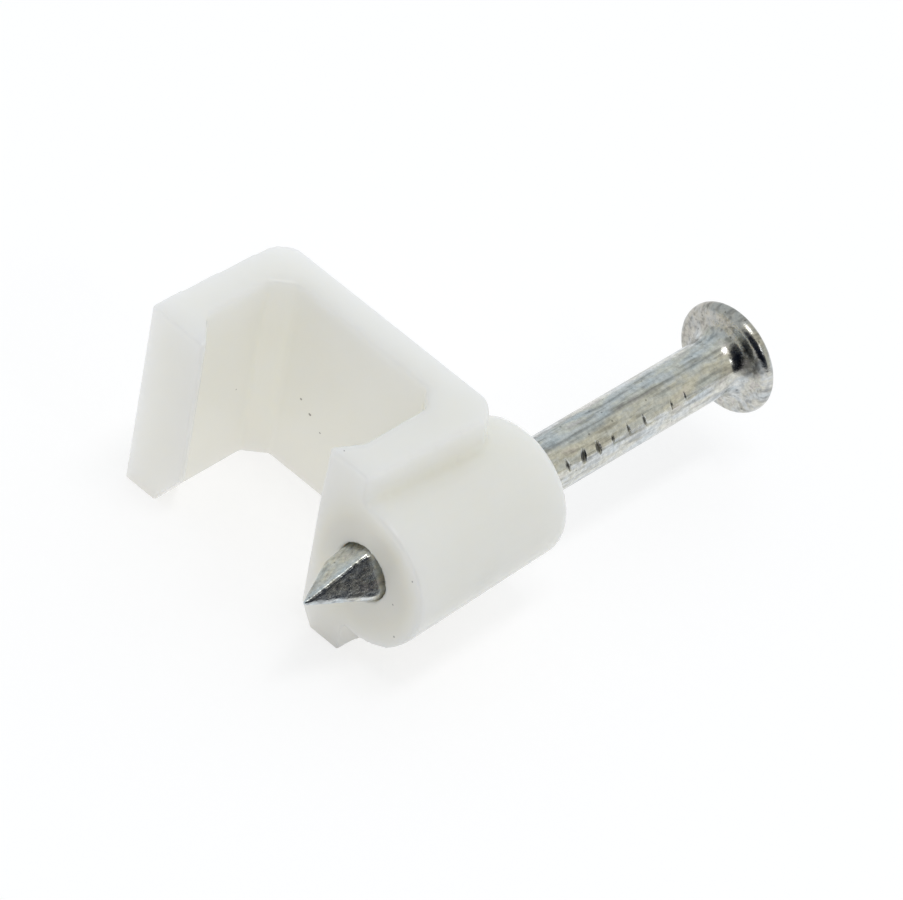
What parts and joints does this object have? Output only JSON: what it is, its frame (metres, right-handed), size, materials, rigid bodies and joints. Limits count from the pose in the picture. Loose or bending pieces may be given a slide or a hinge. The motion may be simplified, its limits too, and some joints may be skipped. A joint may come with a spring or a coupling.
{
  "type": "nail-in cable clip",
  "caption": "Moulded plastic clip whose lipped channel holds a flat cable to a wall, with a headed steel nail standing in the round boss beside it, ready to be driven.",
  "frame": {"origin": "on the nail's axis, in the plane of the wall, halfway along the clip", "axes": "+Y out of the wall along the nail, from its point to its head; +X from the free leg to the nail; +Z along the cable, up"},
  "size_m": [0.0162, 0.0244, 0.0094],
  "materials": {
    "white_plastic": "satin moulded polyethylene",
    "zinc_plated_steel": "bright zinc plate"
  },
  "bodies": {
    "clip": {"clip_body": "white_plastic"},
    "nail": {"nail": "zinc_plated_steel"}
  },
  "joints": [
    {"name": "nail_drive", "type": "slide", "parent": "clip", "child": "nail", "axis": [0, -1, 0], "range_m": [0, 0.0113]}
  ]
}
